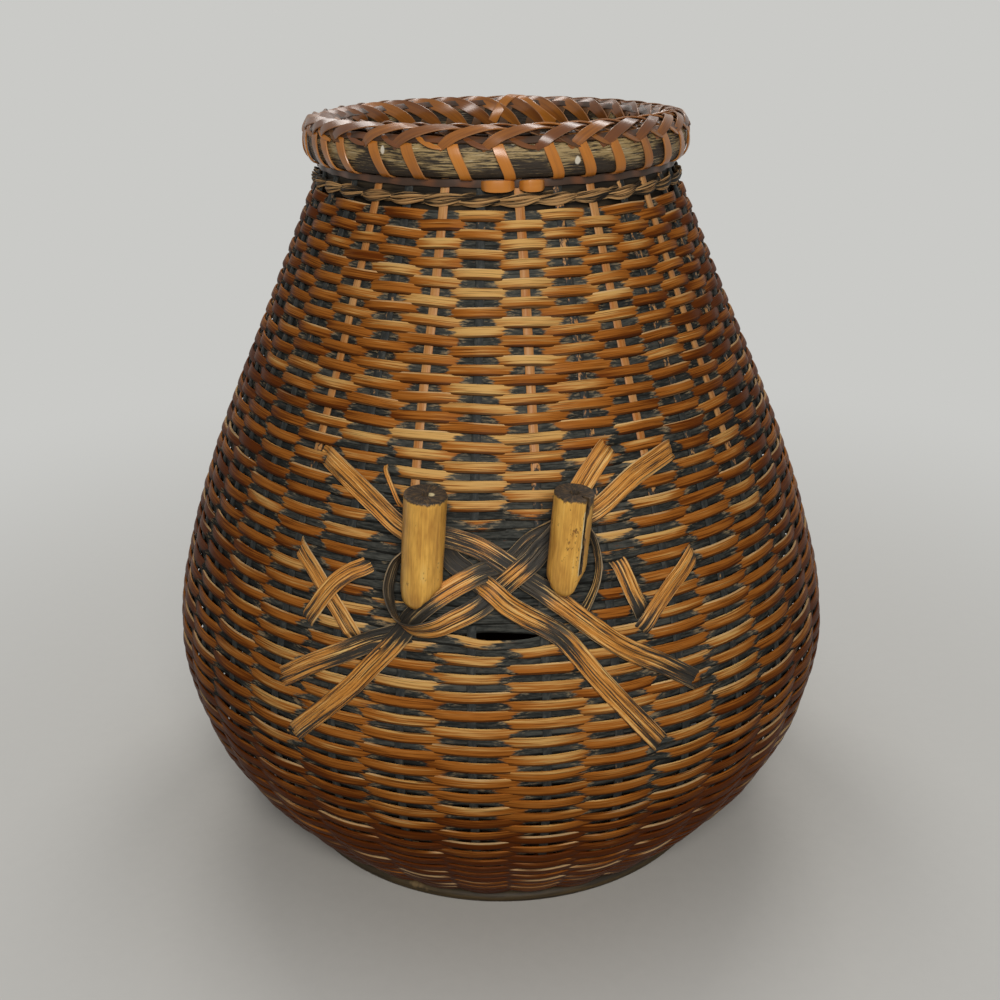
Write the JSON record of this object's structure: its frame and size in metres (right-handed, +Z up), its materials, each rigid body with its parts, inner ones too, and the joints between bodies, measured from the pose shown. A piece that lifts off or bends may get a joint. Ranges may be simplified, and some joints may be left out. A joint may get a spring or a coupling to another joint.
{
  "type": "ikebana basket",
  "caption": "Pear-shaped woven bamboo flower basket with a bound hoop rim, two tied pegs in a strap knot on the front, and a lift-out water liner.",
  "frame": {"origin": "centre of the base on the surface the basket stands on", "axes": "+Z up along the basket's axis, -Y towards the front with the knot and pegs, +X to the right seen from the front"},
  "size_m": [0.2974, 0.297, 0.3204],
  "materials": {
    "weft_bamboo": "stained orange-brown on the high parts, slate black in the hollows, satin",
    "stake_bamboo": "pale tan to grey split bamboo, satin",
    "dark_bamboo": "dark stained, matt",
    "hoop_bamboo": "dark olive-brown with gold streaks, satin",
    "lashing_bamboo": "glossy orange-brown bamboo skin",
    "peg_bamboo": "pale yellow bamboo, dark ends, satin",
    "strap_bamboo": "fibrous, light and dark streaks along the strap, matt",
    "liner_metal": "dark brown lacquer, semi-matt"
  },
  "bodies": {
    "basket": {"base_ring": "dark_bamboo", "base_mat": "weft_bamboo", "weft_band_1": "weft_bamboo", "weft_band_2": "weft_bamboo", "weft_band_3": "weft_bamboo", "weft_band_4": "weft_bamboo", "weft_band_5": "weft_bamboo", "stake_01": "stake_bamboo", "stake_02": "stake_bamboo", "stake_03": "stake_bamboo", "stake_04": "stake_bamboo", "stake_05": "stake_bamboo", "stake_06": "stake_bamboo", "stake_07": "stake_bamboo", "stake_08": "stake_bamboo", "stake_09": "stake_bamboo", "stake_10": "stake_bamboo", "stake_11": "stake_bamboo", "stake_12": "stake_bamboo", "stake_13": "stake_bamboo", "stake_14": "stake_bamboo", "stake_15": "stake_bamboo", "stake_16": "stake_bamboo", "stake_17": "stake_bamboo", "stake_18": "stake_bamboo", "stake_19": "stake_bamboo", "stake_20": "stake_bamboo", "stake_21": "stake_bamboo", "stake_22": "stake_bamboo", "stake_23": "stake_bamboo", "stake_24": "stake_bamboo", "stake_25": "stake_bamboo", "stake_26": "stake_bamboo", "stake_27": "stake_bamboo", "stake_28": "stake_bamboo", "stake_29": "stake_bamboo", "stake_30": "stake_bamboo", "stake_31": "stake_bamboo", "stake_32": "stake_bamboo", "stake_33": "stake_bamboo", "neck_twine": "weft_bamboo", "rim_hoop_outer": "hoop_bamboo", "rim_hoop_inner": "hoop_bamboo", "rim_core": "dark_bamboo", "rim_lashing": "lashing_bamboo", "rim_tie_1": "lashing_bamboo", "rim_tie_2": "lashing_bamboo", "peg_left": "peg_bamboo", "peg_right": "peg_bamboo", "knot_strap_1": "strap_bamboo", "knot_strap_2": "strap_bamboo", "knot_strap_3": "strap_bamboo", "knot_strap_4": "strap_bamboo", "knot_strap_5": "strap_bamboo", "knot_loop_right": "strap_bamboo", "accent_left_straight": "strap_bamboo", "accent_left_arched": "strap_bamboo", "accent_right_inner": "strap_bamboo", "accent_right_outer": "strap_bamboo"},
    "liner": {"water_liner": "liner_metal"}
  },
  "joints": [
    {"name": "liner_lift", "type": "slide", "parent": "basket", "child": "liner", "axis": [0, 0, 1], "range_m": [0, 0.33]}
  ]
}
